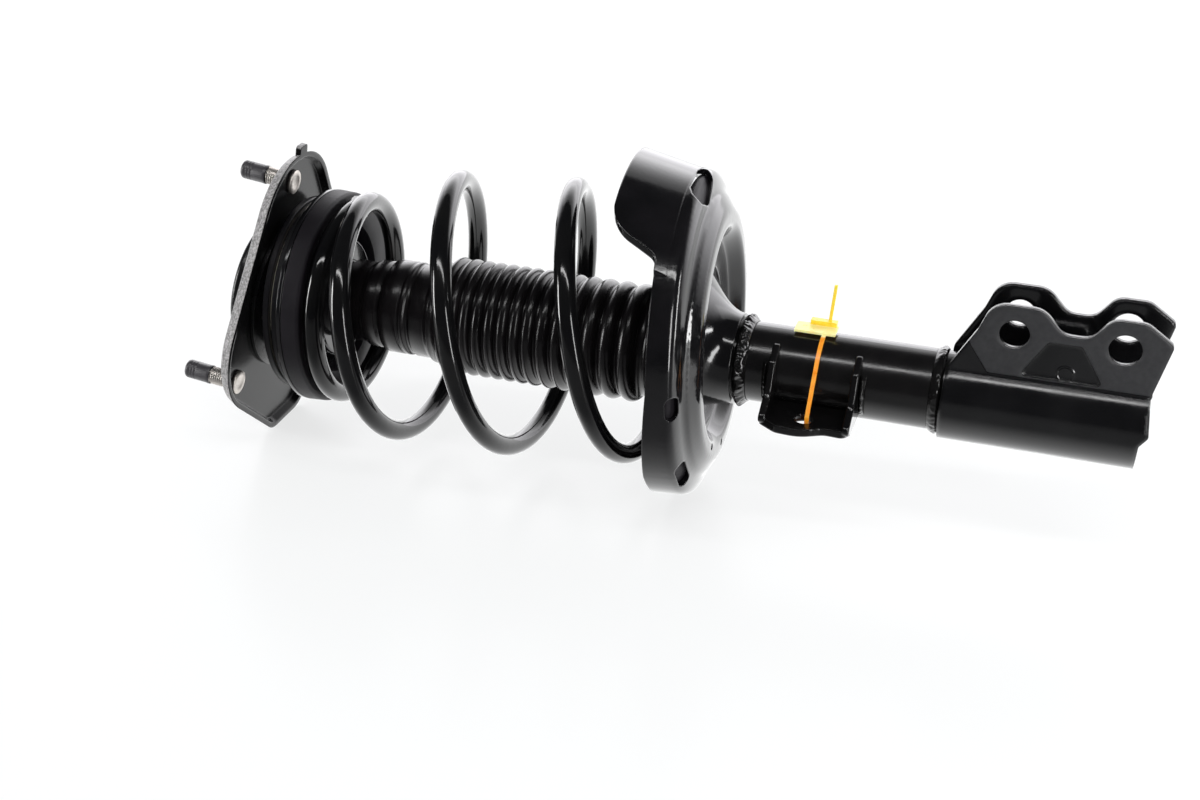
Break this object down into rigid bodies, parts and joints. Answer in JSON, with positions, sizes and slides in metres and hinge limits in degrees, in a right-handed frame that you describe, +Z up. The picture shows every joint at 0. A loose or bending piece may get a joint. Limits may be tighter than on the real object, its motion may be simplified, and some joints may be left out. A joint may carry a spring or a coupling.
{
  "type": "strut assembly",
  "caption": "Suspension strut: damper with coil spring, dust boot, top mount with studs, link bracket and knuckle bracket.",
  "frame": {"origin": "middle of the outline, at the height of the mount plate's lower edge, which is the lowest point", "axes": "+X along the damper from the top mount to the knuckle bracket, +Z up along the bracket ears, -Y towards the link bracket"},
  "size_m": [0.5244, 0.1772, 0.1932],
  "materials": {
    "steel_black": "gloss black paint",
    "spring_black": "gloss black powder coat",
    "seat_black": "gloss black dip coat",
    "weld_black": "painted weld bead",
    "plate_black": "semi gloss black coat",
    "race_plastic": "dark grey plastic",
    "cage_plastic": "natural plastic",
    "rubber_black": "matte black rubber",
    "boot_rubber": "satin black rubber",
    "foam_yellow": "cellular polyurethane",
    "zinc_steel": "zinc plated",
    "plain_steel": "machined steel",
    "rod_chrome": "hard chrome",
    "ptfe_band": "bronze filled polymer",
    "cap_plastic": "dark grey plastic",
    "tie_plastic": "orange plastic"
  },
  "bodies": {
    "strut": {"outer_tube": "steel_black", "base_cap": "steel_black", "working_cylinder": "plain_steel", "base_valve": "plain_steel", "rod_guide": "plain_steel", "rod_seal": "rubber_black", "tube_top_cap": "zinc_steel", "lower_spring_seat": "seat_black", "seat_weld": "weld_black", "lower_spring_pad": "rubber_black", "coil_spring": "spring_black", "link_bracket": "steel_black", "link_bracket_welds": "weld_black", "knuckle_bracket": "steel_black", "bracket_weld": "weld_black", "marker_tie": "tie_plastic"},
    "upper_seat": {"upper_spring_seat": "plate_black", "upper_spring_pad": "rubber_black", "bearing_lower_race": "race_plastic", "dust_boot": "boot_rubber"},
    "bearing_cage": {"bearing_cage": "cage_plastic", "bearing_balls": "plain_steel"},
    "mount": {"piston_rod": "rod_chrome", "rebound_stop": "plain_steel", "piston": "plain_steel", "piston_band": "ptfe_band", "piston_nut": "plain_steel", "bump_stop": "foam_yellow", "mount_plate": "plate_black", "mount_cup": "plate_black", "mount_studs": "zinc_steel", "mount_rubber": "rubber_black", "mount_sleeve": "zinc_steel", "rod_washer": "zinc_steel", "rod_nut": "zinc_steel", "bearing_upper_race": "race_plastic"},
    "stud_cap_1": {"stud_cap_1": "cap_plastic"},
    "stud_cap_2": {"stud_cap_2": "cap_plastic"},
    "stud_cap_3": {"stud_cap_3": "cap_plastic"}
  },
  "joints": [
    {"name": "damper_stroke", "type": "slide", "parent": "strut", "child": "upper_seat", "axis": [1, 0, 0], "range_m": [0, 0.118], "stiffness_N_per_m": 24000, "deforming": ["coil_spring", "dust_boot"]},
    {"name": "bearing_swivel", "type": "hinge", "parent": "upper_seat", "child": "mount", "pos_m": [-0.20939, -0.00037, 0.08561], "axis": [1, 0, 0], "range_deg": [-45, 45]},
    {"name": "cage_roll", "type": "hinge", "parent": "upper_seat", "child": "bearing_cage", "pos_m": [-0.20939, -0.00037, 0.08561], "axis": [1, 0, 0], "range_deg": [-22.5, 22.5]},
    {"name": "cap_pull_1", "type": "slide", "parent": "mount", "child": "stud_cap_1", "axis": [-0.9925, 0, 0.1221], "range_m": [0, 0.02]},
    {"name": "cap_pull_2", "type": "slide", "parent": "mount", "child": "stud_cap_2", "axis": [-0.9925, 0, 0.1221], "range_m": [0, 0.02]},
    {"name": "cap_pull_3", "type": "slide", "parent": "mount", "child": "stud_cap_3", "axis": [-0.9925, 0, 0.1221], "range_m": [0, 0.02]}
  ],
  "couplings": [
    {"joint": "cage_roll", "follows": "bearing_swivel", "ratio": 0.5}
  ]
}
